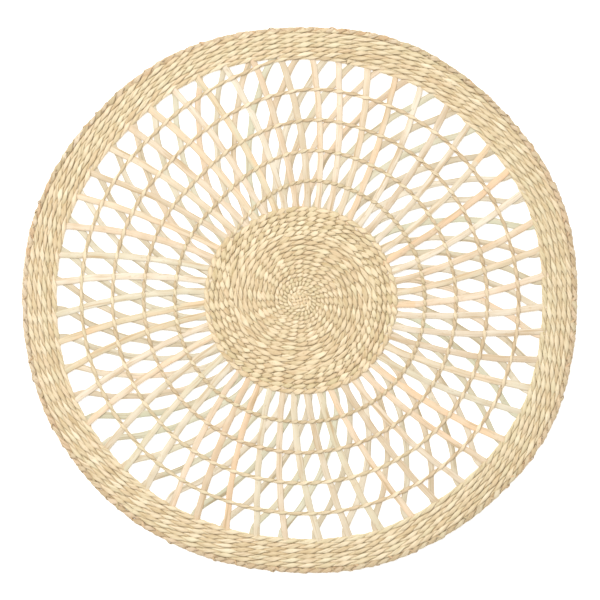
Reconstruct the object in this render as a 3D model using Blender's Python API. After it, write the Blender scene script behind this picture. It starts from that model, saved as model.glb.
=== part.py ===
"""Round openwork placemat twined from seagrass: a close-twined centre, an openwork ring of crossing
flat strips held by a spiral of open twining, a close-twined rim and a plaited edge. Metres, +Z up.
The mat lies flat on z = 0 with its middle on the Z axis."""

import math

import bpy

# Driving dimensions
MAT_RADIUS = 0.1900  # mean radius over the plaited edge
EDGE_WIDTH = 0.0040
RIM_INNER = 0.1670
CENTRE_RADIUS = 0.0650
TWINED_HEIGHT = 0.0040  # two strands twined over a spoke
OPENWORK_HEIGHT = 0.0022  # two crossing layers of flat strip
GAP = 0.0003  # between neighbouring pieces

# The mat isn't a true circle: it is a little wide, and leans towards its corners.
OVAL_ALONG = 0.0112
OVAL_ACROSS = -0.0063
OVAL_SQUARE = -0.0045
EDGE_LUMP = 0.00035
# The rim is wider on some sides than on others, so the outer edge wanders in and out.
EDGE_WAVES = (  # waves round the mat, size, start of the wave
    (2, 0.0012, math.radians(115.0)),
    (3, 0.00055, math.radians(-154.0)),
    (7, 0.0005, math.radians(133.0)),
    (8, 0.0006, math.radians(167.0)),
)

# Openwork: flat strips in two layers that cross once in each row
FRONT_STRIPS = 52
FRONT_LEAN = 0.25  # pitches counterclockwise in each row
BACK_LEAN = 0.75  # pitches clockwise in each row
FRONT_WIDTH = 0.0039
BACK_WIDTH = 0.0029
ROW_PITCH = 0.0212
OPEN_ROWS = 5
LINES_START = 0.0621  # one row inside the first line of open twining, under the centre's edge
CORD_WIDTH = 0.0021  # the open twining between rows
BAND = 0.0010  # plain band along both edges of the openwork
FIRST_STRIP = math.radians(-231.7)
STRIP_DRIFT = 0.05  # how far a single strip strays from its place, in pitches
# Strips crowd together on one side of the mat and stand apart on the other.
STRIP_CROWDING = (  # waves round the mat, size in pitches, start of the wave
    (1, -0.315, math.radians(45.0)),
    (2, 0.110, 0.0),
    (3, -0.107, 0.0),
)

# The open twining is one spiral, outward clockwise, which steps out mostly in one short stretch.
STEP_START = math.radians(139.0)
STEP_ARC = math.radians(60.0)
STEP_SHARE = 0.88
STEP_OFFSET = 0.12
GATHER_CENTRE = 0.60  # share of their spread that strips keep at the centre's edge
GATHER_RIM = 0.45  # and at the rim
GATHER_ROWS = 0.5

# Facets
OPENWORK_SIDES = 72
CENTRE_SIDES = 60
RIM_SIDES = 84
EDGE_SIDES = 120
SMALLEST_HOLE = 0.0030
SMALLEST_SIDE = 0.0006

TURN = 2.0 * math.pi
STRIP_PITCH = TURN / (FRONT_STRIPS + FRONT_LEAN)
BACK_STRIPS = FRONT_STRIPS + 1
CENTRE_EDGE = CENTRE_RADIUS + GAP + BAND
RIM_EDGE = RIM_INNER - GAP - BAND


def outline(angle):
    """How far the mat reaches at this angle, as a share of its mean radius."""
    along = OVAL_ALONG * math.cos(2.0 * angle)
    across = OVAL_ACROSS * math.sin(2.0 * angle)
    square = OVAL_SQUARE * math.cos(4.0 * angle)
    return 1.0 + along + across + square


def smooth(share):
    share = min(max(share, 0.0), 1.0)
    return share * share * (3.0 - 2.0 * share)


def twining_rows(angle):
    """Rows by which the open twining has moved out at this angle, one more for each turn clockwise."""
    turned = STEP_START - angle
    whole = math.floor(turned / TURN)
    part = turned - whole * TURN
    step = STEP_SHARE * smooth(part / STEP_ARC)
    return whole + STEP_OFFSET + step + (1.0 - STEP_SHARE) * part / TURN


def crowding(strip):
    """How far strips near this one stand from an even spacing, in pitches."""
    around = TURN * strip / FRONT_STRIPS
    return sum(size * math.cos(waves * around - start) for waves, size, start in STRIP_CROWDING)


def front_angle(strip, row):
    turns, own = divmod(strip, FRONT_STRIPS)
    drift = crowding(own) + STRIP_DRIFT * math.sin(2.4 * own + 0.7 * (row - turns))
    return FIRST_STRIP + STRIP_PITCH * (strip + FRONT_LEAN * row + drift)


def back_angle(strip, row):
    turns, own = divmod(strip, BACK_STRIPS)
    since = row - turns
    drift = crowding(own + 0.5 - since) + STRIP_DRIFT * math.sin(1.7 * own + 0.6 * since + 1.0)
    return FIRST_STRIP + STRIP_PITCH * (strip + 0.5 - BACK_LEAN * row + drift)


def rows_out(angle, row):
    """Rows between the start of the lines and this place."""
    return row - 1.0 + twining_rows(angle)


def gathered(front, back, row):
    """Where the back strip lies: near the centre and the rim it is drawn towards the front one."""
    out = rows_out(front, row)
    turned = (STEP_START - front) % TURN
    even = smooth((turned - STEP_ARC) / STEP_ARC) * smooth((TURN - turned) / STEP_ARC)
    at_centre = (1.0 - GATHER_CENTRE) * smooth(1.0 - out / GATHER_ROWS)
    at_rim = (1.0 - GATHER_RIM) * smooth(1.0 - (OPEN_ROWS - out) / GATHER_ROWS)
    return front + (back - front) * (1.0 - even * (at_centre + at_rim))


def radius_at(angle, row):
    plain = LINES_START + ROW_PITCH * rows_out(angle, row)
    return min(max(plain, CENTRE_EDGE), RIM_EDGE)


def place(angle, row):
    reach = radius_at(angle, row) * outline(angle)
    return (reach * math.cos(angle), reach * math.sin(angle))


def hole_left(strip, first_row, row):
    """The counterclockwise edge of whichever strip bounds the hole on its clockwise side."""
    front = front_angle(strip, row)
    back = gathered(front, back_angle(strip + first_row, row), row)
    reach = radius_at(front, row)
    return max(front + 0.5 * FRONT_WIDTH / reach, back + 0.5 * BACK_WIDTH / reach)


def hole_right(strip, first_row, row):
    front = front_angle(strip + 1, row)
    back = gathered(front, back_angle(strip + 1 + first_row, row), row)
    reach = radius_at(front, row)
    return min(front - 0.5 * FRONT_WIDTH / reach, back - 0.5 * BACK_WIDTH / reach)


def edge_row(strip, rows):
    """The row coordinate, between this strip and the next, of a place so many rows out."""
    row = rows
    for _ in range(8):
        row = rows + 1.0 - twining_rows(0.5 * (front_angle(strip, row) + front_angle(strip + 1, row)))
    return row


def hole(strip, first_row):
    """Corners of the gap between two front strips and two lines of twining, or None if there is none."""
    half_cord = 0.5 * CORD_WIDTH / ROW_PITCH
    lowest = edge_row(strip, (CENTRE_EDGE - LINES_START) / ROW_PITCH)
    highest = edge_row(strip, (RIM_EDGE - LINES_START) / ROW_PITCH)
    start = max(first_row + half_cord, lowest)
    end = min(first_row + 1.0 - half_cord, highest)

    def width(row):
        reach = radius_at(front_angle(strip, row), row)
        return (hole_right(strip, first_row, row) - hole_left(strip, first_row, row)) * reach

    nudge = 0.02
    while start < end and width(start) < SMALLEST_SIDE:
        start += nudge
    while start < end and width(end) < SMALLEST_SIDE:
        end -= nudge
    if (end - start) * ROW_PITCH < SMALLEST_HOLE:
        return None
    crossing = first_row + 0.5
    rows = [start, crossing, end] if start + nudge < crossing < end - nudge else [start, end]
    left = [place(hole_left(strip, first_row, row), row) for row in rows]
    right = [place(hole_right(strip, first_row, row), row) for row in rows]
    return right + left[::-1]


def straw(name, colour, roughness):
    material = bpy.data.materials.new(name)
    material.use_nodes = True
    shader = material.node_tree.nodes["Principled BSDF"]
    shader.inputs["Base Color"].default_value = (*colour, 1.0)
    shader.inputs["Roughness"].default_value = roughness
    shader.inputs["Metallic"].default_value = 0.0
    material.diffuse_color = (*colour, 1.0)
    return material


def edge_wander(angle):
    return sum(size * math.cos(waves * angle - start) for waves, size, start in EDGE_WAVES)


def circle(radius, sides, wander=0.0, lump=0.0):
    """Corners of a loop that follows the mat's outline: wander is its share of the edge's wandering,
    and lump makes it uneven."""
    corners = []
    for side in range(sides):
        angle = TURN * side / sides
        uneven = lump * (math.sin(17.0 * angle + 1.0) + 0.7 * math.sin(29.0 * angle + 2.0))
        reach = radius * outline(angle) + wander * edge_wander(angle) + uneven
        corners.append((reach * math.cos(angle), reach * math.sin(angle)))
    return corners


def plate(name, loops, height, material):
    """A flat solid, centred on half the mat's height: the first loop is its outline, and the rest are
    cut through it. It is one filled 2-D curve with thickness."""
    curve = bpy.data.curves.new(name, "CURVE")
    curve.dimensions = "2D"
    curve.fill_mode = "BOTH"
    curve.extrude = 0.5 * height
    curve.materials.append(material)
    for loop in loops:
        spline = curve.splines.new("POLY")
        spline.points.add(len(loop) - 1)
        spline.use_cyclic_u = True
        for point, (x, y) in zip(spline.points, loop):
            point.co = (x, y, 0.0, 1.0)
    made = bpy.data.objects.new(name, curve)
    made.location.z = 0.5 * TWINED_HEIGHT
    bpy.context.collection.objects.link(made)
    return made


def woven_centre():
    colour = straw("centre_straw", (0.72, 0.56, 0.35), 0.75)
    plate("woven_centre", [circle(CENTRE_RADIUS, CENTRE_SIDES)], TWINED_HEIGHT, colour)


def openwork():
    colour = straw("strip_straw", (0.78, 0.58, 0.38), 0.65)
    edges = [circle(RIM_INNER - GAP, OPENWORK_SIDES), circle(CENTRE_RADIUS + GAP, OPENWORK_SIDES)]
    places = [(strip, row) for strip in range(FRONT_STRIPS) for row in range(OPEN_ROWS + 1)]
    gaps = [hole(strip, row) for strip, row in places]
    plate("openwork", edges + [gap for gap in gaps if gap], OPENWORK_HEIGHT, colour)


def rim_band():
    colour = straw("rim_straw", (0.70, 0.54, 0.34), 0.75)
    outer = circle(MAT_RADIUS - EDGE_WIDTH - GAP, RIM_SIDES, wander=1.0)
    edges = [outer, circle(RIM_INNER, RIM_SIDES)]
    plate("rim_band", edges, TWINED_HEIGHT, colour)


def edge_plait():
    colour = straw("edge_straw", (0.58, 0.42, 0.25), 0.8)
    outer = circle(MAT_RADIUS, EDGE_SIDES, wander=1.0, lump=EDGE_LUMP)
    edges = [outer, circle(MAT_RADIUS - EDGE_WIDTH, RIM_SIDES, wander=1.0)]
    plate("edge_plait", edges, TWINED_HEIGHT, colour)


def main():
    for old in list(bpy.data.objects):
        bpy.data.objects.remove(old)
    woven_centre()
    openwork()
    rim_band()
    edge_plait()


main()
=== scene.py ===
import math
import bpy
import numpy as np
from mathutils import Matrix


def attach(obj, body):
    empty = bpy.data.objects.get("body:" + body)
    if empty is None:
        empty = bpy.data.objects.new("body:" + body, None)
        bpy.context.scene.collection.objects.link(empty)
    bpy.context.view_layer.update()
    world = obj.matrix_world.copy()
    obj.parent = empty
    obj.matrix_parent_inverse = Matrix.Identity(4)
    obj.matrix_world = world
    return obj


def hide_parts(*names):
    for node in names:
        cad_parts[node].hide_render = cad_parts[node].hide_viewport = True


# A round seagrass placemat lying flat. Lengths are in metres and angles in radians, counterclockwise
# from +X. Every strand is its own tube of straw.

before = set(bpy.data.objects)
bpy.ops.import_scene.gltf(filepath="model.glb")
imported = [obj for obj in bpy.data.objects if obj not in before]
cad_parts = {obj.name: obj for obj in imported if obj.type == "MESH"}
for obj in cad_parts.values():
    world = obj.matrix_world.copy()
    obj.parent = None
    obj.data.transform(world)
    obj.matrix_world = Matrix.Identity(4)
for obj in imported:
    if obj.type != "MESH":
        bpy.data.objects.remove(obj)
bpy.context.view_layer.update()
turn = 2 * math.pi
luck = np.random.default_rng(26)

# how the spokes and the open twining run: the same net as the plate that these pieces stand for
weave = {
    "matRadius": 0.1900, "edgeWidth": 0.0040, "rimInner": 0.1670, "middle": 0.0020,
    "lowest": 0.00005, "highest": 0.0041,
    "oval": ((2, 0.0112, 0.0), (2, -0.0063, math.radians(90)), (4, -0.0045, 0.0)),
    "edgeWaves": ((2, 0.0012, math.radians(115)), (3, 0.00055, math.radians(-154)),
                  (7, 0.0005, math.radians(133)), (8, 0.0006, math.radians(167))),
    "frontStrips": 52, "frontLean": 0.25, "backLean": 0.75, "rowPitch": 0.0212, "openRows": 5,
    "linesStart": 0.0621, "firstStrip": math.radians(-231.7), "drift": 0.05,
    "crowding": ((1, -0.315, math.radians(45)), (2, 0.110, 0.0), (3, -0.107, 0.0)),
    "stepStart": math.radians(139), "stepArc": math.radians(60), "stepShare": 0.88, "stepOffset": 0.12,
    "gatherCentre": 0.60, "gatherRim": 0.45, "gatherRows": 0.5, "rounds": 12, "patchLength": 0.006,
}
backStrips = weave["frontStrips"] + 1
stripPitch = turn / (weave["frontStrips"] + weave["frontLean"])


def waves(angle, terms):
    return sum(size * np.cos(count * angle - start) for count, size, start in terms)


def smooth(share):
    share = np.clip(share, 0, 1)
    return share * share * (3 - 2 * share)


def twiningRows(angle):    # rows that the twining has moved out, one more for each turn clockwise
    turned = weave["stepStart"] - angle
    whole = np.floor(turned / turn)
    part = turned - whole * turn
    step = weave["stepShare"] * smooth(part / weave["stepArc"])
    return whole + weave["stepOffset"] + step + (1 - weave["stepShare"]) * part / turn


def crowded(strip):
    return waves(turn * strip / weave["frontStrips"], weave["crowding"])


def frontAngle(strip, row):
    turns, own = np.divmod(strip, weave["frontStrips"])
    drift = crowded(own) + weave["drift"] * np.sin(2.4 * own + 0.7 * (row - turns))
    return weave["firstStrip"] + stripPitch * (strip + weave["frontLean"] * row + drift)


def backAngle(strip, row):
    turns, own = np.divmod(strip, backStrips)
    since = row - turns
    drift = crowded(own + 0.5 - since) + weave["drift"] * np.sin(1.7 * own + 0.6 * since + 1)
    return weave["firstStrip"] + stripPitch * (strip + 0.5 - weave["backLean"] * row + drift)


def gatheredAngle(strip, row, firstRow, lastRow):    # a back strip drawn close to the front one it crosses
    cell = np.clip(np.floor(row), firstRow, lastRow)
    front = frontAngle(strip - cell, row)
    back = backAngle(strip, row)
    out = row - 1 + twiningRows(front)
    turned = (weave["stepStart"] - front) % turn
    even = smooth(turned / weave["stepArc"] - 1) * smooth((turn - turned) / weave["stepArc"])
    atCentre = (1 - weave["gatherCentre"]) * smooth(1 - out / weave["gatherRows"])
    atRim = (1 - weave["gatherRim"]) * smooth(1 - (weave["openRows"] - out) / weave["gatherRows"])
    return front + (back - front) * (1 - even * (atCentre + atRim))


def rowAt(angleOf, strip, out):    # where along a strip it is so many rows out
    row = out
    for again in range(weave["rounds"]):
        row = out + 1 - twiningRows(angleOf(strip, row))
    return row


def laid(angle, reach, height, grown=True):    # points on the mat
    if grown:
        reach = reach * (1 + waves(angle, weave["oval"]))
    return np.stack([reach * np.cos(angle), reach * np.sin(angle), height + 0 * angle], axis=1)


def wander(along, reach):    # smooth chance values from -1 to 1 that change over this length
    spot = (along - along[0]) / reach
    knots = luck.uniform(-1, 1, int(spot[-1]) + 3)
    whole = spot.astype(int)
    share = smooth(spot - whole)
    return knots[whole] * (1 - share) + knots[whole + 1] * share


def measured(points):    # distance along a line of points
    return np.concatenate([[0], np.cumsum(np.linalg.norm(np.diff(points, axis=0), axis=1))])


def eased(line, reach):    # rounds off the sharper turns of a line
    for again in range(reach):
        line = np.concatenate([line[:1], 0.25 * line[:-2] + 0.5 * line[1:-1] + 0.25 * line[2:], line[-1:]])
    return line


def spliced(along, tones, shortest, longest):
    # straws of different colour follow each other along a strand: tone, blush and green for each point
    ends = [luck.uniform(-longest, 0)]
    while ends[-1] < along[-1]:
        ends.append(ends[-1] + luck.uniform(shortest, longest))
    which = np.clip(np.searchsorted(ends, along) - 1, 0, len(ends))
    tone = luck.uniform(tones["tone"][0], tones["tone"][1], len(ends) + 1)
    blush = tones["blush"] * luck.uniform(0, 1, len(ends) + 1) ** 2
    green = tones["green"] * luck.uniform(0, 1, len(ends) + 1) ** 2
    values = np.stack([tone, blush, green], axis=1)[which]
    values[:, 0] += tones["drift"] * wander(along, weave["patchLength"])
    return values


def section(sides, squareness=1.0):    # a flat rounded cross-section, seam underneath
    angle = turn * np.arange(sides) / sides - math.pi / 2
    flat, tall = np.cos(angle), np.sin(angle)
    return np.stack([np.sign(flat) * np.abs(flat) ** squareness,
                     np.sign(tall) * np.abs(tall) ** squareness], axis=1)


class Bundle:
    # strands gathered into one piece, whose colour map is cut into cells of so many rings laid in columns
    fibreRoom, seam, margin = 50, 0.01, 0.08    # metres of grain to start in, and room left round a cell

    def __init__(self, sides, chunk, columns):
        self.sides, self.chunk, self.columns = sides, chunk, columns
        self.points, self.tints, self.quads, self.caps, self.fibre, self.cells = [], [], [], [], [], []
        self.count, self.cellCount = 0, 0

    def add(self, line, side, top, width, thick, tint, arch=0.0, crease=0.0, squareness=1.0):
        rings, sides = len(line), self.sides
        shape = section(sides, squareness)
        forward = np.gradient(line, axis=0)
        if np.einsum("ij,ij->i", np.cross(side, top), forward).sum() < 0:
            side = -side
        across = shape[:, 0][None, :]
        lift = thick[:, None] * shape[:, 1][None, :] + arch * (0.5 - across ** 2) - crease * np.abs(across)
        body = line[:, None, :] + side[:, None, :] * (width[:, None] * across)[:, :, None]
        body = body + top[:, None, :] * lift[:, :, None]
        body[:, :, 2] = np.clip(body[:, :, 2], weave["lowest"], weave["highest"])
        self.points.append(body.reshape(-1, 3))
        self.tints.append(np.repeat(tint, sides, axis=0))
        ring, corner = np.meshgrid(np.arange(rings - 1), np.arange(sides), indexing="ij")
        ring, corner = ring.ravel(), corner.ravel()
        after = (corner + 1) % sides
        first = self.count
        self.quads.append(first + np.stack([ring * sides + corner, ring * sides + after,
                                            (ring + 1) * sides + after, (ring + 1) * sides + corner], axis=1))
        self.caps.append(first + np.arange(sides)[::-1])
        self.caps.append(first + (rings - 1) * sides + np.arange(sides))
        along = measured(line) + luck.uniform(0, self.fibreRoom)
        low, high = corner / sides, (corner + 1) / sides
        self.fibre.append(np.stack([along[ring], low, along[ring], high,
                                    along[ring + 1], high, along[ring + 1], low], axis=1).reshape(-1, 2))
        cell = ring // self.chunk
        start, end = (ring - cell * self.chunk) / self.chunk, (ring + 1 - cell * self.chunk) / self.chunk
        cell = cell + self.cellCount
        self.cells.append(np.stack([cell, start, low, cell, start, high,
                                    cell, end, high, cell, end, low], axis=1).reshape(-1, 3))
        self.cellCount = int(cell.max()) + 1
        self.count += rings * sides

    def make(self, name, finish):
        mesh = bpy.data.meshes.new(name)
        points, quads = np.concatenate(self.points), np.concatenate(self.quads)
        caps = np.concatenate(self.caps)
        corners = np.concatenate([quads.ravel(), caps])
        starts = np.concatenate([np.arange(len(quads)) * 4,
                                 len(quads) * 4 + np.arange(len(self.caps)) * self.sides])
        mesh.vertices.add(len(points))
        mesh.vertices.foreach_set("co", points.ravel().astype(np.float32))
        mesh.loops.add(len(corners))
        mesh.loops.foreach_set("vertex_index", corners.astype(np.int32))
        mesh.polygons.add(len(starts))
        mesh.polygons.foreach_set("loop_start", starts.astype(np.int32))
        mesh.polygons.foreach_set("use_smooth", np.ones(len(starts), bool))
        rows = math.ceil(self.cellCount / self.columns)
        cells = np.concatenate(self.cells)
        column, row = np.mod(cells[:, 0], self.columns), np.floor(cells[:, 0] / self.columns)
        flat = np.stack([(column + self.seam + (1 - 2 * self.seam) * cells[:, 1]) / self.columns,
                         (row + self.margin + (1 - 2 * self.margin) * cells[:, 2]) / rows], axis=1)
        capCorners = np.zeros((len(caps), 2))
        for layerName, spots in (("OFBake", flat), ("fibre", np.concatenate(self.fibre))):
            layer = mesh.uv_layers.new(name=layerName)
            layer.uv.foreach_set("vector", np.concatenate([spots, capCorners]).ravel().astype(np.float32))
        tint = mesh.attributes.new("tint", "FLOAT_VECTOR", "POINT")
        tint.data.foreach_set("vector", np.concatenate(self.tints).ravel().astype(np.float32))
        mesh.update(calc_edges=True)
        mesh.validate()
        mesh.materials.append(finish)
        piece = bpy.data.objects.new(name, mesh)
        bpy.context.scene.collection.objects.link(piece)
        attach(piece, "root")
        print(f"{name}: {len(quads) * 2 + len(self.caps) * (self.sides - 2)} triangles")
        return piece


def screenColour(red, green, blue):    # a colour as it is named on a screen, made linear for a shader
    parts = [value / 255 for value in (red, green, blue)]
    return tuple(p / 12.92 if p <= 0.04045 else ((p + 0.055) / 1.055) ** 2.4 for p in parts) + (1.0,)


class Wire:
    # one output of a shader node, which maths can be written with
    def __init__(self, bench, socket):
        self.bench, self.socket = bench, socket

    def maths(self, operation, first, second):
        return self.bench.node("ShaderNodeMath", {"operation": operation}, {0: first, 1: second})

    def __add__(self, other):
        return self.maths("ADD", self, other)

    def __radd__(self, other):
        return self.maths("ADD", other, self)

    def __sub__(self, other):
        return self.maths("SUBTRACT", self, other)

    def __rsub__(self, other):
        return self.maths("SUBTRACT", other, self)

    def __mul__(self, other):
        return self.maths("MULTIPLY", self, other)

    def __rmul__(self, other):
        return self.maths("MULTIPLY", other, self)

    def other(self, name):    # another output of the same node
        return Wire(self.bench, self.socket.node.outputs[name])


class Bench:
    # the nodes of one material
    def __init__(self, name):
        self.material = bpy.data.materials.new(name)
        self.material.use_nodes = True
        self.tree = self.material.node_tree
        self.shader = self.tree.nodes["Principled BSDF"]

    def plug(self, slot, value):
        if isinstance(value, Wire):
            self.tree.links.new(value.socket, slot)
        else:
            slot.default_value = value

    def node(self, kind, settings, values, output=0):
        made = self.tree.nodes.new(kind)
        for key, value in settings.items():
            if key == "stops":
                for stop, (place, shade) in zip(made.color_ramp.elements, value):
                    stop.position, stop.color = place, (shade, shade, shade, 1)
            else:
                setattr(made, key, value)
        for key, value in values.items():
            self.plug(made.inputs[key], value)
        return Wire(self, made.outputs[output])

    def mix(self, factor, first, second):
        return self.node("ShaderNodeMix", {"data_type": "RGBA"}, {0: factor, 6: first, 7: second}, 2)

    def ramp(self, factor, low, high):
        return self.node("ShaderNodeValToRGB", {"stops": ((low, 0), (high, 1))}, {0: factor})


grass = {
    "noiseRoughness": 0.6, "grainDetail": 3, "foldAlong": 0.5, "foldAround": 0.6, "foldDetail": 2,
    "patchAround": 2, "patchDetail": 3, "spotFiner": 9, "spotAround": 9, "spotDetail": 1,
    "lineEdges": (0.32, 0.68), "blushEdges": (0.2, 0.7), "foldEdges": (0.25, 0.45), "spotEdges": (0.66, 0.78),
    "toneOfTint": 0.7, "toneOfPatch": 0.5, "toneBase": 0.2, "greenGain": 1.5, "lineRelief": 0.35,
    "reliefDepth": 0.0003, "linesRougher": 0.2, "sheen": 0.05,
}


def strawFinish(name, look):
    # dried grass: long fibres along the strand, patches of colour, painted shade in the grooves of its folds
    # and painted shade in fine pits
    bench = Bench(name)
    fibre = bench.node("ShaderNodeUVMap", {"uv_map": "fibre"}, {})

    def fibres(along, around, detail):
        spread = bench.node("ShaderNodeVectorMath", {"operation": "MULTIPLY"},
                            {0: fibre, 1: (along, around, 1)})
        return bench.node("ShaderNodeTexNoise", {"noise_dimensions": "2D"}, {
            "Vector": spread, "Scale": 1, "Detail": detail, "Roughness": grass["noiseRoughness"]})

    grain = fibres(look["grainAlong"], look["grainAround"], grass["grainDetail"])
    folds = fibres(look["grainAlong"] * grass["foldAlong"], look["grainAround"] * grass["foldAround"],
                   grass["foldDetail"])
    patches = fibres(look["patchAlong"], grass["patchAround"], grass["patchDetail"])
    spots = fibres(look["patchAlong"] * grass["spotFiner"], grass["spotAround"], grass["spotDetail"])
    tint = bench.node("ShaderNodeSeparateXYZ", {}, {0: bench.node(
        "ShaderNodeAttribute", {"attribute_name": "tint"}, {}, "Vector")})
    lines = bench.ramp(grain, *grass["lineEdges"])
    tone = tint * grass["toneOfTint"] + patches * grass["toneOfPatch"]
    tone = tone + (lines - 0.5) * look["grainColour"] - grass["toneBase"]
    colour = bench.mix(tone, look["deep"], look["pale"])
    colour = bench.mix(tint.other("Y") * bench.ramp(patches, *grass["blushEdges"]), colour, look["blush"])
    colour = bench.mix(tint.other("Z") * (1 - patches) * grass["greenGain"], colour, look["green"])
    # painted shade: where the folds sink, the colour is mixed toward the shade colour
    colour = bench.mix((1 - bench.ramp(folds, *grass["foldEdges"])) * look["foldPaintedShade"], colour, look["shade"])
    # painted shade: fine pits, drawn as small specks mixed toward the shade colour
    colour = bench.mix(bench.ramp(spots, *grass["spotEdges"]) * look["pitPaintedShade"], colour, look["shade"])
    height = lines * grass["lineRelief"] + folds
    bump = bench.node("ShaderNodeBump", {}, {"Strength": look["relief"], "Distance": grass["reliefDepth"],
                                             "Height": height})
    bench.plug(bench.shader.inputs["Base Color"], colour)
    bench.plug(bench.shader.inputs["Roughness"], look["roughness"] + grass["linesRougher"] * (1 - lines))
    bench.plug(bench.shader.inputs["Normal"], bump)
    bench.plug(bench.shader.inputs["Specular IOR Level"], look["gloss"])
    bench.plug(bench.shader.inputs["Sheen Weight"], grass["sheen"])
    return bench.material


twist = {"swellLength": 0.012, "riseUneven": 0.06, "riseLength": 0.009, "strayLength": 0.012}


def twined(bundle, angle, reach, phase, plan, tones, grown=True):
    # two strands that wind round each other over and under the spokes: phase grows by pi at each spoke
    outward = np.stack([np.cos(angle), np.sin(angle), 0 * angle], axis=1)
    upward = np.zeros_like(outward)
    upward[:, 2] = 1
    for strand in range(2):
        own = phase + math.pi * strand
        along = measured(laid(angle, reach, 0.0, grown))
        beside = np.cos(own)
        over = np.sign(np.sin(own)) * np.abs(np.sin(own)) ** plan["plateau"]
        swell = 1 + plan["uneven"] * wander(along, twist["swellLength"])
        scale = plan["scale"]
        sway = plan["sway"] * swell * scale
        rise = plan["rise"] * (1 + twist["riseUneven"] * wander(along, twist["riseLength"])) * scale ** 2
        stray = plan["stray"] * wander(along, twist["strayLength"]) * scale
        line = laid(angle, reach + sway * beside + stray, weave["middle"] + rise * over, grown)
        turned = np.sqrt(over ** 2 + (plan["flip"] * beside) ** 2)
        flatness, upright = (-over / turned)[:, None], (plan["flip"] * beside / turned)[:, None]
        side = outward * flatness + upward * upright
        top = outward * upright - upward * flatness
        width = (plan["widthBeside"] + (plan["width"] - plan["widthBeside"]) * np.abs(over)) * swell * scale
        thick = (plan["thickBeside"] + (plan["thick"] - plan["thickBeside"]) * over ** 2) * scale ** 0.5
        tints = spliced(along, tones, plan["shortest"], plan["longest"])
        # painted light: stitches smaller than full size are made paler to offset the shade in their deeper
        # gaps
        tints[:, 0] += plan["contrast"] * (0.5 - strand) + plan["paintedLightWhenSmall"] * (1 - scale)
        bundle.add(line, side, top, width, thick, tints, squareness=plan["squareness"])


under = {"rings": 6, "shortest": 0.1, "longest": 0.3, "arch": 0.0001, "squareness": 0.6}


def layUnder(bundle, count, start, inner, outer, plan, tones):
    # the spokes under close twining: flat straws side by side that fill what the twining leaves open
    rings = under["rings"]
    for spoke in range(count):
        angle = np.full(rings, start + turn * spoke / count)
        reach = np.linspace(inner, outer(angle[0]), rings)
        line = laid(angle, reach, plan["spokeHeight"])
        side = np.stack([-np.sin(angle), np.cos(angle), 0 * angle], axis=1)
        width = math.pi * reach / count * plan["spokeWidth"]
        bundle.add(line, side, np.tile([0, 0, 1.0], (rings, 1)), width, np.full(rings, plan["spokeThick"]),
                   spliced(measured(line), tones, under["shortest"], under["longest"]),
                   arch=under["arch"], squareness=under["squareness"])


# where each spoke meets the spiral of open twining, as a count of front strips that grows counterclockwise
firstTurn, lastTurn = -8, 3    # whole turns that hold all of the spiral's angles
spokeCount = np.arange(firstTurn * weave["frontStrips"], lastTurn * weave["frontStrips"])
metBy = np.concatenate([frontAngle(spokeCount, 0.0), backAngle(spokeCount, 0.0)])
metCount = np.concatenate([spokeCount, spokeCount + 0.5])
metOrder = np.argsort(metBy)
metBy, metCount = metBy[metOrder], metCount[metOrder]


def spokesMet(angle):
    return np.interp(angle, metBy, metCount)


def spokesFrom(angle, join):
    # the same count beyond one end of the open twining, where spokes run straight out from the middle
    turns = np.floor((angle - join) / turn)
    home = angle - turns * turn
    return spokesMet(home) - weave["frontLean"] * (home - join) / turn + weave["frontStrips"] * turns


spiralStart = weave["stepStart"] - turn    # where the open twining leaves the centre
spiralEnd = weave["stepStart"] - weave["openRows"] * turn - weave["stepArc"]    # and where it reaches the rim
rimLine = weave["linesStart"] + weave["rowPitch"] * (float(twiningRows(spiralEnd)) - 1)

centrePlan = {
    "turns": 20.5, "fineSteps": 40000, "settledTurns": 15, "settling": 10, "pitch": 0.0034,
    "pitchInside": 0.0027, "outerLine": 0.0639, "innerLine": 0.0042, "pairedFrom": 0.0480,
    "pairedWander": (0.003, 0.002), "fewFrom": 0.0090, "sway": 0.00078, "rise": 0.00115, "width": 0.00185,
    "widthBeside": 0.0005, "thick": 0.00050, "thickBeside": 0.0009, "uneven": 0.26, "squareness": 0.8,
    "plateau": 0.65, "flip": 0.4, "contrast": 0.35, "paintedLightWhenSmall": 1.2, "stray": 0.00030, "spokeWidth": 1.2,
    "spokeThick": 0.0004, "spokeHeight": 0.0011, "spokesInner": 0.0005, "shortest": 0.05, "longest": 0.20,
    "stepsPerStitch": 8, "looseness": 0.40, "looserInside": 2.5, "looseReach": 0.022, "looseLength": 0.007,
    "tones": {"tone": (0.15, 1.0), "blush": 0.5, "green": 0.35, "drift": 0.3},
    "look": {
        "deep": screenColour(202, 178, 137), "pale": screenColour(233, 216, 182),
        "blush": screenColour(230, 200, 166), "green": screenColour(203, 198, 153),
        "shade": screenColour(173, 145, 95), "grainAlong": 110, "grainAround": 9, "patchAlong": 45,
        "grainColour": 0.4, "foldPaintedShade": 0.5, "pitPaintedShade": 0.4, "relief": 0.35, "roughness": 0.55,
        "gloss": 0.35},
    "knot": {"strips": 5, "pitch": 0.0022, "width": 0.00088, "thick": 0.0004, "reach": 0.0062, "lift": 0.0008,
             "turned": math.radians(12), "height": 0.0026, "rings": 30, "uneven": 0.05, "stray": 0.0002,
             "strayLength": 0.004, "fall": 0.0012, "shortest": 0.05, "longest": 0.2, "squareness": 0.7},
}


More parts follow.
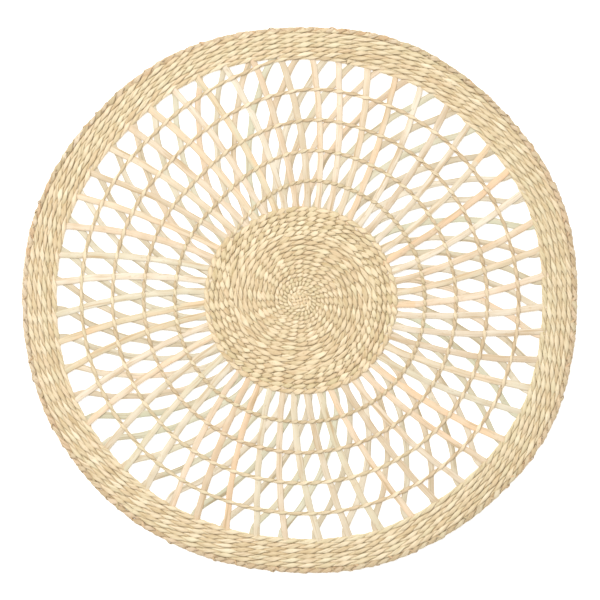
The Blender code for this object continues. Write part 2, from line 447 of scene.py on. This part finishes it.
def makeKnot(bundle, knot, tones):
    # two layers of crossing strips, each over and under the others by turns
    for direction in (0, 1):
        for strip in range(knot["strips"]):
            offset = (strip - (knot["strips"] - 1) / 2) * knot["pitch"]
            along = np.linspace(-knot["reach"], knot["reach"], knot["rings"])
            wave = np.cos(math.pi * (along / knot["pitch"] + strip + direction + knot["strips"] / 2 - 0.5))
            if direction:
                wave = -wave
            heading = knot["turned"] + direction * math.pi / 2 + knot["uneven"] * luck.uniform(-1, 1)
            forward = np.array([math.cos(heading), math.sin(heading), 0])
            sideways = np.array([-forward[1], forward[0], 0])
            stray = knot["stray"] * wander(along, knot["strayLength"])
            line = forward * along[:, None] + sideways * (offset + stray)[:, None]
            outward = np.abs(along) / knot["reach"]
            fall = knot["fall"] * smooth(outward * 2 - 1)
            line[:, 2] = knot["height"] + knot["lift"] * wave * (1 - smooth(outward)) - fall
            ones = np.ones(len(along))
            tints = spliced(along, tones, knot["shortest"], knot["longest"])
            bundle.add(line, np.tile(sideways, (len(along), 1)), np.tile([0, 0, 1.0], (len(along), 1)),
                       knot["width"] * ones, knot["thick"] * ones, tints, squareness=knot["squareness"])


def makeCentre(plan):
    # the spiral runs from the small knot in the middle to where the open twining leaves it
    bundle = Bundle(8, 330, 1)
    fine = np.linspace(spiralStart, spiralStart + plan["turns"] * turn, plan["fineSteps"])
    evenTurns = (fine - spiralStart) / turn
    stepped = float(twiningRows(spiralStart)) - twiningRows(fine)
    unsettled = smooth((plan["settledTurns"] - evenTurns) / plan["settling"])
    turnsIn = evenTurns + (stepped - evenTurns) * unsettled
    pitch = plan["pitch"] - (plan["pitch"] - plan["pitchInside"]) * turnsIn / plan["turns"]
    reach = plan["outerLine"] - 0.5 * (plan["pitch"] + pitch) * turnsIn
    kept = reach > plan["innerLine"]
    fine, reach, pitch = fine[kept], reach[kept], pitch[kept]
    spokes = spokesFrom(fine, spiralStart)
    slow, quick = plan["pairedWander"]
    edge = plan["pairedFrom"] + slow * np.sin(3 * fine) + quick * np.sin(7 * fine + 1)
    share = np.where(reach > edge, 1.0, np.where(reach > plan["fewFrom"], 0.5, 0.25))
    phase = np.concatenate([[0], np.cumsum(np.diff(spokes) * share[1:])]) * math.pi
    wanted = np.arange(phase[0], phase[-1], math.pi / plan["stepsPerStitch"])
    angle = np.interp(wanted, phase, fine)
    scale = np.interp(wanted, phase, pitch / plan["pitch"])
    reach = np.interp(wanted, phase, reach)
    loose = plan["looseness"] * (1 + plan["looserInside"] * smooth(1 - reach / plan["looseReach"]))
    loose = loose * wander(measured(laid(angle, reach, 0.0)), plan["looseLength"])
    twined(bundle, angle, reach, wanted + loose, {**plan, "scale": scale}, plan["tones"])
    layUnder(bundle, weave["frontStrips"], spiralStart, plan["spokesInner"],
             lambda place: plan["outerLine"], plan, plan["tones"])
    makeKnot(bundle, plan["knot"], plan["tones"])
    piece = bundle.make("centre_twining", strawFinish("centreStraw", plan["look"]))
    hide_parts("woven_centre")
    return piece


rimPlan = {
    "rows": 6, "overrun": 0.4, "fade": 0.5, "thinnest": 0.25, "joinOver": 0.5, "closer": 0.0009,
    "fromEdge": 0.0017, "sway": 0.00085, "rise": 0.00110, "width": 0.0017, "widthBeside": 0.0004,
    "thick": 0.00060, "thickBeside": 0.0009, "uneven": 0.15, "squareness": 0.8, "plateau": 0.8, "flip": 0.5,
    "stray": 0.00025, "contrast": 0.25, "paintedLightWhenSmall": 0, "spokeWidth": 1.2, "spokeThick": 0.0004,
    "spokeHeight": 0.0011, "spokesInner": 0.0012, "spokeEnds": 0.0022, "shortest": 0.08, "longest": 0.35,
    "stepsPerStitch": 8, "looseness": 0.4, "looseLength": 0.012,
    "tones": {"tone": (0.15, 1.0), "blush": 0.4, "green": 0.35, "drift": 0.3},
    "look": {
        "deep": screenColour(205, 182, 142), "pale": screenColour(233, 219, 188),
        "blush": screenColour(230, 199, 168), "green": screenColour(201, 197, 156),
        "shade": screenColour(169, 141, 96), "grainAlong": 90, "grainAround": 9, "patchAlong": 32,
        "grainColour": 0.4, "foldPaintedShade": 0.5, "pitPaintedShade": 0.4, "relief": 0.35, "roughness": 0.55,
        "gloss": 0.35},
}


def edgeReach(angle):    # the middle line of the outermost twined row
    line = weave["matRadius"] - weave["edgeWidth"] - rimPlan["fromEdge"]
    return line * (1 + waves(angle, weave["oval"])) + waves(angle, weave["edgeWaves"])


def makeRim(plan):
    bundle = Bundle(8, 330, 1)
    last = spiralEnd - turn * plan["rows"] - plan["overrun"]
    spokes = 2 * (spokesFrom(spiralEnd, spiralEnd) - spokesFrom(last, spiralEnd))
    angle = np.linspace(last, spiralEnd, int(spokes * plan["stepsPerStitch"]))
    phase = 2 * math.pi * spokesFrom(angle, spiralEnd)
    rows = twiningRows(angle) - float(twiningRows(spiralEnd))
    joining = smooth((spiralEnd - angle) / plan["joinOver"])
    inner = rimLine * (1 + waves(angle, weave["oval"]))
    inner = inner + joining * (waves(angle, weave["edgeWaves"]) - plan["closer"])
    reach = inner + (edgeReach(angle) - inner) * rows / (plan["rows"] - 1)
    thin = smooth((angle - last) / plan["fade"])
    phase = phase + plan["looseness"] * wander(measured(laid(angle, reach, 0.0)), plan["looseLength"])
    scale = plan["thinnest"] + (1 - plan["thinnest"]) * thin
    twined(bundle, angle, reach, phase, {**plan, "scale": scale}, plan["tones"], grown=False)
    layUnder(bundle, 2 * weave["frontStrips"], spiralEnd, weave["rimInner"] + plan["spokesInner"],
             lambda place: (edgeReach(place) + plan["spokeEnds"]) / (1 + waves(place, weave["oval"])),
             plan, plan["tones"])
    piece = bundle.make("rim_twining", strawFinish("rimStraw", plan["look"]))
    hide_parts("rim_band")
    return piece


stripPlan = {
    "innerReach": 0.0605, "outerReach": 0.1700, "drawnRows": (0.25, 4.75), "rings": 92, "easing": 3,
    "lift": 0.00042, "pinch": 0.10, "pinchPower": 4, "strayLength": 0.018, "shortest": 0.4, "longest": 0.9,
    "lean": 0.16, "leanWander": 0.12, "leanLength": 0.02, "ownWidth": 0.7, "widthWander": 0.5,
    "widthLength": 0.03, "archFrom": 0.5, "archTo": 1.2, "crease": 0.0001, "squareness": 0.6,
    "front": {
        "width": 0.00232, "bend": 0.00022, "thick": 0.00022, "arch": 0.00035, "uneven": 0.10,
        "stray": 0.00012,
        "tones": {"tone": (0.1, 1.1), "blush": 1.1, "green": 0.6, "drift": 0.3},
        "look": {
            "deep": screenColour(202, 181, 151), "pale": screenColour(223, 211, 190),
            "blush": screenColour(229, 191, 150), "green": screenColour(194, 194, 161),
            "shade": screenColour(186, 159, 119), "grainAlong": 45, "grainAround": 10, "patchAlong": 28,
            "grainColour": 0.55, "foldPaintedShade": 0.9, "pitPaintedShade": 0.4, "relief": 0.5, "roughness": 0.45,
            "gloss": 0.4}},
    "back": {
        "width": 0.00215, "bend": -0.00045, "thick": 0.00022, "arch": 0.00025, "uneven": 0.12,
        "stray": 0.00012,
        "tones": {"tone": (0.0, 1.0), "blush": 0.9, "green": 0.8, "drift": 0.3},
        "look": {
            "deep": screenColour(194, 179, 151), "pale": screenColour(221, 210, 188),
            "blush": screenColour(224, 190, 156), "green": screenColour(190, 192, 163),
            "shade": screenColour(167, 149, 115), "grainAlong": 45, "grainAround": 10, "patchAlong": 28,
            "grainColour": 0.55, "foldPaintedShade": 0.9, "pitPaintedShade": 0.4, "relief": 0.5, "roughness": 0.5,
            "gloss": 0.35}},
}


def makeStrips(name, count, layer, plan, own):
    # flat strips from inside the centre to inside the rim, each lifted or lowered where it crosses another
    bundle = Bundle(10, plan["rings"], 2)
    starts = (plan["innerReach"] - weave["linesStart"]) / weave["rowPitch"]
    ends = (plan["outerReach"] - weave["linesStart"]) / weave["rowPitch"]
    for strip in range(count):
        if layer > 0:
            angleOf = frontAngle
        else:
            firstRow, lastRow = (np.floor(rowAt(backAngle, strip, out)) for out in plan["drawnRows"])

            def angleOf(strip, row):
                return gatheredAngle(strip, row, firstRow, lastRow)
        row = np.linspace(rowAt(angleOf, strip, starts), rowAt(angleOf, strip, ends), plan["rings"] + 1)
        angle = angleOf(strip, row)
        reach = weave["linesStart"] + weave["rowPitch"] * (row - 1 + twiningRows(angle))
        between = 0.5 - 0.5 * np.cos(turn * row)    # 0 at a line of twining, 1 at a crossing
        along = measured(laid(angle, reach, 0.0))
        aside = own["stray"] * wander(along, plan["strayLength"]) + own["bend"] * np.sin(turn * row)
        angle = angle + aside / reach
        line = eased(laid(angle, reach, weave["middle"] + layer * plan["lift"] * between), plan["easing"])
        forward = np.gradient(line, axis=0)
        forward /= np.linalg.norm(forward, axis=1)[:, None]
        lean = plan["lean"] * luck.uniform(-1, 1) + plan["leanWander"] * wander(along, plan["leanLength"])
        side = np.cross(np.tile([0, 0, 1.0], (len(row), 1)), forward)
        side /= np.linalg.norm(side, axis=1)[:, None]
        top = np.cross(forward, side)
        level, tilted = np.cos(lean)[:, None], np.sin(lean)[:, None]
        side, top = side * level + top * tilted, top * level - side * tilted
        uneven = plan["ownWidth"] * luck.uniform(-1, 1)
        uneven = uneven + plan["widthWander"] * wander(along, plan["widthLength"])
        width = own["width"] * (1 + own["uneven"] * uneven)
        width = width * (1 - plan["pinch"] * (1 - between) ** plan["pinchPower"])
        thick = own["thick"] * np.ones(len(row))
        tints = spliced(along, own["tones"], plan["shortest"], plan["longest"])
        arch = own["arch"] * luck.uniform(plan["archFrom"], plan["archTo"])
        crease = plan["crease"] * luck.uniform(-1, 1)
        bundle.add(line, side, top, width, thick, tints, arch=arch, crease=crease,
                   squareness=plan["squareness"])
    return bundle.make(name, strawFinish(name + "Straw", own["look"]))


cordPlan = {
    "sway": 0.00055, "rise": 0.00100, "width": 0.00132, "widthBeside": 0.00045, "thick": 0.00034,
    "thickBeside": 0.00060, "uneven": 0.15, "squareness": 0.85, "plateau": 0.8, "flip": 0.6,
    "contrast": 0.6, "paintedLightWhenSmall": 0, "stray": 0.00020, "shortest": 0.10, "longest": 0.40, "scale": 1.0,
    "stepsPerStitch": 7, "leave": 0.10, "arrive": 0.35,
    "tones": {"tone": (0.25, 0.9), "blush": 0.3, "green": 0.3, "drift": 0.3},
    "look": {
        "deep": screenColour(194, 170, 134), "pale": screenColour(232, 214, 182),
        "blush": screenColour(222, 193, 161), "green": screenColour(193, 191, 147),
        "shade": screenColour(162, 143, 96), "grainAlong": 110, "grainAround": 14, "patchAlong": 60,
        "grainColour": 0.2, "foldPaintedShade": 0.4, "pitPaintedShade": 0.3, "relief": 0.4, "roughness": 0.5, "gloss": 0.35},
}


def makeCord(plan):
    bundle = Bundle(7, 400, 1)
    stitches = 2 * (spokesMet(spiralStart) - spokesMet(spiralEnd))
    angle = np.linspace(spiralEnd, spiralStart, int(stitches * plan["stepsPerStitch"]))
    phase = turn * spokesMet(angle) + math.pi / 2
    rows = twiningRows(angle)
    firstRows, lastRows = float(twiningRows(spiralStart)), float(twiningRows(spiralEnd))
    rows = lastRows - (lastRows - rows) * smooth((lastRows - rows) / plan["arrive"])
    reach = weave["linesStart"] + weave["rowPitch"] * (rows - 1)
    leaving = smooth((rows - firstRows) / plan["leave"])
    reach = centrePlan["outerLine"] + (reach - centrePlan["outerLine"]) * leaving
    twined(bundle, angle, reach, phase, plan, plan["tones"])
    return bundle.make("open_twining", strawFinish("cordStraw", plan["look"]))


edgePlan = {
    "stitches": 156, "line": 0.0021, "sway": 0.0008, "rise": 0.00115, "width": 0.0017, "widthBeside": 0.0004,
    "thick": 0.00060, "thickBeside": 0.0009, "uneven": 0.2, "squareness": 0.8, "plateau": 0.7, "flip": 0.5,
    "stray": 0.0003, "contrast": 0.4, "paintedLightWhenSmall": 0, "shortest": 0.03, "longest": 0.10, "scale": 1.0,
    "stepsPerStitch": 8, "unevenTwist": 1.2, "twistLength": 0.02, "twistEnds": 0.2,
    "wraps": {
        "count": 104, "rings": 15, "around": (math.radians(-80), math.radians(250)), "jitter": 0.3,
        "advance": 0.0046, "advanceFrom": 0.6, "advanceTo": 1.4, "unevenSize": 0.12, "stray": 0.0005,
        "across": 0.00170, "rise": 0.00150, "width": 0.0010, "widthFrom": 0.6, "widthTo": 1.2,
        "narrowest": 0.6, "broader": 0.4, "thick": 0.00030, "arch": 0.0002, "squareness": 0.8,
        "darker": 0.45, "shortest": 0.2, "longest": 0.4},
    "tones": {"tone": (0.0, 0.9), "blush": 0.8, "green": 0.5, "drift": 0.15},
    "look": {
        "deep": screenColour(192, 168, 133), "pale": screenColour(229, 213, 187),
        "blush": screenColour(214, 172, 130), "green": screenColour(191, 185, 144),
        "shade": screenColour(143, 113, 72), "grainAlong": 110, "grainAround": 26, "patchAlong": 50,
        "grainColour": 0.25, "foldPaintedShade": 0.6, "pitPaintedShade": 0.35, "relief": 0.5, "roughness": 0.6,
        "gloss": 0.3},
}


def makeEdge(plan):
    # a twisted row, and over it the ends of the spokes turned back, one slanting wrap after another
    wraps = plan["wraps"]
    bundle = Bundle(8, wraps["rings"] - 1, 12)
    middle = weave["matRadius"] - plan["line"]
    angle = np.linspace(0, turn, plan["stitches"] * plan["stepsPerStitch"] + 1)
    uneven = plan["unevenTwist"] * np.sin(angle / 2) ** plan["twistEnds"]
    uneven = uneven * wander(angle * middle, plan["twistLength"])
    reach = middle * (1 + waves(angle, weave["oval"])) + waves(angle, weave["edgeWaves"])
    twined(bundle, angle, reach, plan["stitches"] * angle / 2 + uneven, plan, plan["tones"], grown=False)
    spread = turn / wraps["count"]
    for wrap in range(wraps["count"]):
        around = np.linspace(*wraps["around"], wraps["rings"])
        start = spread * (wrap + wraps["jitter"] * luck.uniform(-1, 1))
        advance = wraps["advance"] * luck.uniform(wraps["advanceFrom"], wraps["advanceTo"])
        angle = start - advance * around / math.pi / middle
        size = 1 + wraps["unevenSize"] * luck.uniform(-1, 1)
        line = middle * (1 + waves(angle, weave["oval"])) + waves(angle, weave["edgeWaves"])
        reach = line + wraps["stray"] * luck.uniform(-1, 1) + wraps["across"] * size * np.cos(around)
        points = laid(angle, reach, weave["middle"] + wraps["rise"] * np.sin(around), grown=False)
        outward = np.stack([np.cos(angle), np.sin(angle), 0 * angle], axis=1)
        top = outward * np.cos(around)[:, None]
        top[:, 2] = np.sin(around)
        forward = np.gradient(points, axis=0)
        forward /= np.linalg.norm(forward, axis=1)[:, None]
        side = np.cross(top, forward)
        side /= np.linalg.norm(side, axis=1)[:, None]
        top = np.cross(forward, side)
        broad = wraps["narrowest"] + wraps["broader"] * np.sin(np.clip(around, 0, math.pi))
        width = wraps["width"] * luck.uniform(wraps["widthFrom"], wraps["widthTo"]) * broad
        thick = np.full(wraps["rings"], wraps["thick"])
        tints = spliced(measured(points), plan["tones"], wraps["shortest"], wraps["longest"])
        tints[:, 0] -= wraps["darker"]
        arch = wraps["arch"] * luck.uniform(0, 1)
        bundle.add(points, side, top, width, thick, tints, arch=arch, squareness=wraps["squareness"])
    piece = bundle.make("edge_wraps", strawFinish("edgeStraw", plan["look"]))
    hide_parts("edge_plait")
    return piece


centre = makeCentre(centrePlan)
rim = makeRim(rimPlan)
frontStrips = makeStrips("front_strips", weave["frontStrips"], 1, stripPlan, stripPlan["front"])
backStripsPiece = makeStrips("back_strips", backStrips, -1, stripPlan, stripPlan["back"])
cord = makeCord(cordPlan)
edge = makeEdge(edgePlan)
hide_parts("openwork")
print("straw laid")

studio = {
    "floorSize": 6.0, "floorDrop": 0.0001, "floorColour": screenColour(250, 250, 250), "floorGlow": 0.35,
    "floorRoughness": 0.9, "floorGloss": 0.1, "world": 0.75, "keyPower": 34.0, "keySize": 1.1,
    "keyPlace": (-0.5, 0.75, 1.9), "cameraHeight": 1.60, "seenWidth": 0.411, "sensor": 36.0,
    "cameraPlace": (-0.0005, -0.0001),
}


def makeStudio(plan):
    half = plan["floorSize"] / 2
    mesh = bpy.data.meshes.new("floor")
    corners = [(-half, -half, 0), (half, -half, 0), (half, half, 0), (-half, half, 0)]
    mesh.from_pydata(corners, [], [(0, 1, 2, 3)])
    floor = bpy.data.objects.new("floor", mesh)
    floor.location.z = -plan["floorDrop"]
    bpy.context.scene.collection.objects.link(floor)
    bench = Bench("floorPaint")
    bench.plug(bench.shader.inputs["Base Color"], plan["floorColour"])
    bench.plug(bench.shader.inputs["Roughness"], plan["floorRoughness"])
    bench.plug(bench.shader.inputs["Emission Color"], (1, 1, 1, 1))
    bench.plug(bench.shader.inputs["Emission Strength"], plan["floorGlow"])
    bench.plug(bench.shader.inputs["Specular IOR Level"], plan["floorGloss"])
    mesh.materials.append(bench.material)
    world = bpy.data.worlds.new("studio")
    world.use_nodes = True
    world.node_tree.nodes["Background"].inputs["Color"].default_value = (1, 1, 1, 1)
    world.node_tree.nodes["Background"].inputs["Strength"].default_value = plan["world"]
    bpy.context.scene.world = world
    light = bpy.data.lights.new("key", "AREA")
    light.energy, light.size = plan["keyPower"], plan["keySize"]
    key = bpy.data.objects.new("key", light)
    key.location = plan["keyPlace"]
    key.rotation_mode = "QUATERNION"
    key.rotation_quaternion = key.location.to_track_quat("Z", "Y")
    bpy.context.scene.collection.objects.link(key)
    lens = bpy.data.cameras.new("camera")
    lens.sensor_width = plan["sensor"]
    lens.lens = plan["sensor"] * plan["cameraHeight"] / plan["seenWidth"]
    camera = bpy.data.objects.new("camera", lens)
    camera.location = (*plan["cameraPlace"], plan["cameraHeight"])
    bpy.context.scene.collection.objects.link(camera)
    bpy.context.scene.camera = camera
    bpy.context.scene.view_settings.view_transform = "Standard"


makeStudio(studio)
print("studio ready")
